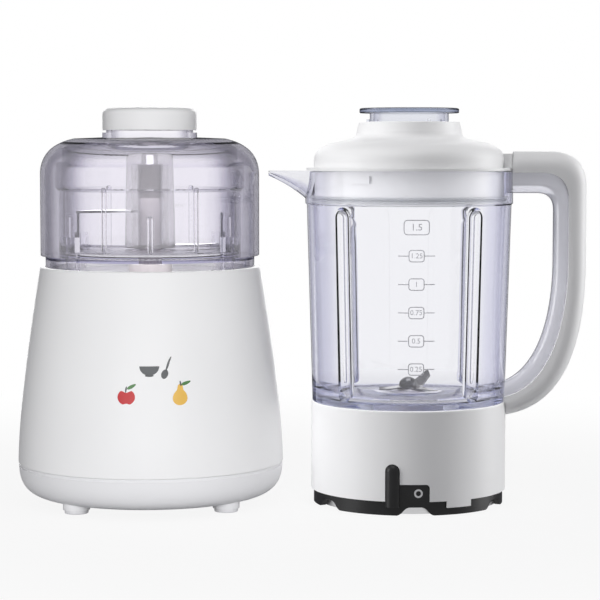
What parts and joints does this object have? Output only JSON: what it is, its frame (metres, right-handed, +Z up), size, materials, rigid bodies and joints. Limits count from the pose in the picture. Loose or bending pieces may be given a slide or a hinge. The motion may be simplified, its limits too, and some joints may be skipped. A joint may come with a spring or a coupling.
{
  "type": "baby food maker",
  "caption": "Kitchen baby food maker: white tapered motor base with a clear press-down chopper, and a clear blender jug with handle, spout, lid and lockable blade collar.",
  "frame": {"origin": "on the table under the middle of the two units, at the centre of the whole set's footprint box", "axes": "+Z up, +X from the motor base to the jug, front towards -Y; the base is turned 4.1 degrees and the jug 3 degrees inwards"},
  "size_m": [0.3915, 0.183, 0.2723],
  "materials": {
    "white_plastic": "satin moulded ABS",
    "pale_grey_plastic": "fine matt moulded ABS",
    "clear_plastic": "clear moulded SAN with a cool tint",
    "jug_plastic": "clear moulded SAN with a blue violet tint",
    "core_plastic": "milky clear SAN",
    "holder_plastic": "lavender grey nylon",
    "hub_plastic": "milky polypropylene",
    "black_plastic": "satin moulded nylon",
    "acetal": "off-white acetal",
    "pale_rubber": "soft pale rubber",
    "dark_rubber": "moulded rubber",
    "silicone": "translucent silicone",
    "blade_steel": "ground stainless steel",
    "shaft_steel": "turned steel",
    "fastener_steel": "zinc-plated steel",
    "ring_steel": "turned stainless steel",
    "core_steel": "lamination stack",
    "copper": "enamelled copper",
    "cast_aluminium": "die-cast",
    "bronze": "sintered bronze",
    "carbon": "pressed carbon"
  },
  "bodies": {
    "base": {"base_housing": "white_plastic", "base_bottom_cover": "pale_grey_plastic", "foot_pads": "pale_rubber", "cover_screws": "fastener_steel", "motor_screws": "fastener_steel", "motor_dampers": "dark_rubber", "lower_bracket": "cast_aluminium", "upper_bracket": "cast_aluminium", "lower_bearing": "shaft_steel", "upper_bearing": "shaft_steel", "tie_bolts": "fastener_steel", "stator_core": "core_steel", "field_coils": "copper", "carbon_brushes": "carbon", "brush_holders": "black_plastic", "deck_seal": "pale_rubber", "switch_plate": "pale_grey_plastic", "start_switch": "black_plastic", "plunger_springs": "fastener_steel", "cord_gland": "dark_rubber"},
    "rotor": {"motor_shaft": "shaft_steel", "armature_core": "core_steel", "armature_windings": "copper", "commutator": "copper", "cooling_fan": "black_plastic", "drive_coupling": "acetal"},
    "plungers": {"switch_plungers": "black_plastic"},
    "bowl": {"chopper_bowl": "clear_plastic", "bowl_bush": "acetal"},
    "press_ring": {"press_ring": "clear_plastic"},
    "dome": {"dome_cover": "clear_plastic"},
    "cap": {"dome_cap": "white_plastic", "cap_gasket": "silicone"},
    "chopper_blade": {"bowl_spindle": "shaft_steel", "driven_coupling": "acetal", "chopper_blades": "blade_steel", "blade_hub": "hub_plastic"},
    "jug": {"jug": "jug_plastic", "handle_core": "core_plastic", "handle_cover": "white_plastic"},
    "collar": {"jug_collar": "white_plastic", "locking_ring": "black_plastic", "foot_ring": "ring_steel", "blade_holder": "holder_plastic", "holder_gasket": "silicone", "spindle_bush": "bronze"},
    "jug_blade": {"blade_spindle": "shaft_steel", "jug_coupling": "acetal", "lower_blade": "blade_steel", "upper_blade": "blade_steel", "blade_nut": "blade_steel"},
    "lid": {"jug_lid": "white_plastic", "lid_gasket": "silicone"},
    "filler": {"filler_cap": "jug_plastic"}
  },
  "joints": [
    {"name": "motor_spin", "type": "hinge", "parent": "base", "child": "rotor", "pos_m": [-0.1043, 0, 0.08], "axis": [0, 0, 1], "continuous": true},
    {"name": "bowl_lift", "type": "slide", "parent": "base", "child": "bowl", "axis": [0, 0, 1], "range_m": [0, 0.1]},
    {"name": "dome_press", "type": "slide", "parent": "bowl", "child": "press_ring", "axis": [0, 0, 1], "range_m": [-0.003, 0], "stiffness_N_per_m": 2500, "springref_m": 0.003},
    {"name": "plunger_press", "type": "slide", "parent": "base", "child": "plungers", "axis": [0, 0, 1], "range_m": [-0.003, 0], "deforming": ["plunger_springs"]},
    {"name": "dome_lift", "type": "slide", "parent": "press_ring", "child": "dome", "axis": [0, 0, 1], "range_m": [0, 0.075]},
    {"name": "cap_lift", "type": "slide", "parent": "dome", "child": "cap", "axis": [0, 0, 1], "range_m": [0, 0.03]},
    {"name": "chopper_spin", "type": "hinge", "parent": "bowl", "child": "chopper_blade", "pos_m": [-0.1043, 0, 0.2], "axis": [0, 0, 1], "continuous": true},
    {"name": "jug_lift", "type": "slide", "parent": "base", "child": "jug", "axis": [0, 0, 1], "range_m": [0, 0.12]},
    {"name": "collar_twist", "type": "hinge", "parent": "jug", "child": "collar", "pos_m": [0.0742, 0, 0.05], "axis": [0, 0, 1], "range_deg": [0, 26]},
    {"name": "jug_blade_spin", "type": "hinge", "parent": "collar", "child": "jug_blade", "pos_m": [0.0742, 0, 0.05], "axis": [0, 0, 1], "continuous": true},
    {"name": "lid_lift", "type": "slide", "parent": "jug", "child": "lid", "axis": [0, 0, 1], "range_m": [0, 0.06]},
    {"name": "filler_lift", "type": "slide", "parent": "lid", "child": "filler", "axis": [0, 0, 1], "range_m": [0, 0.04]}
  ],
  "couplings": [
    {"joint": "chopper_spin", "follows": "motor_spin", "ratio": 1},
    {"joint": "plunger_press", "follows": "dome_press", "ratio": 1}
  ]
}
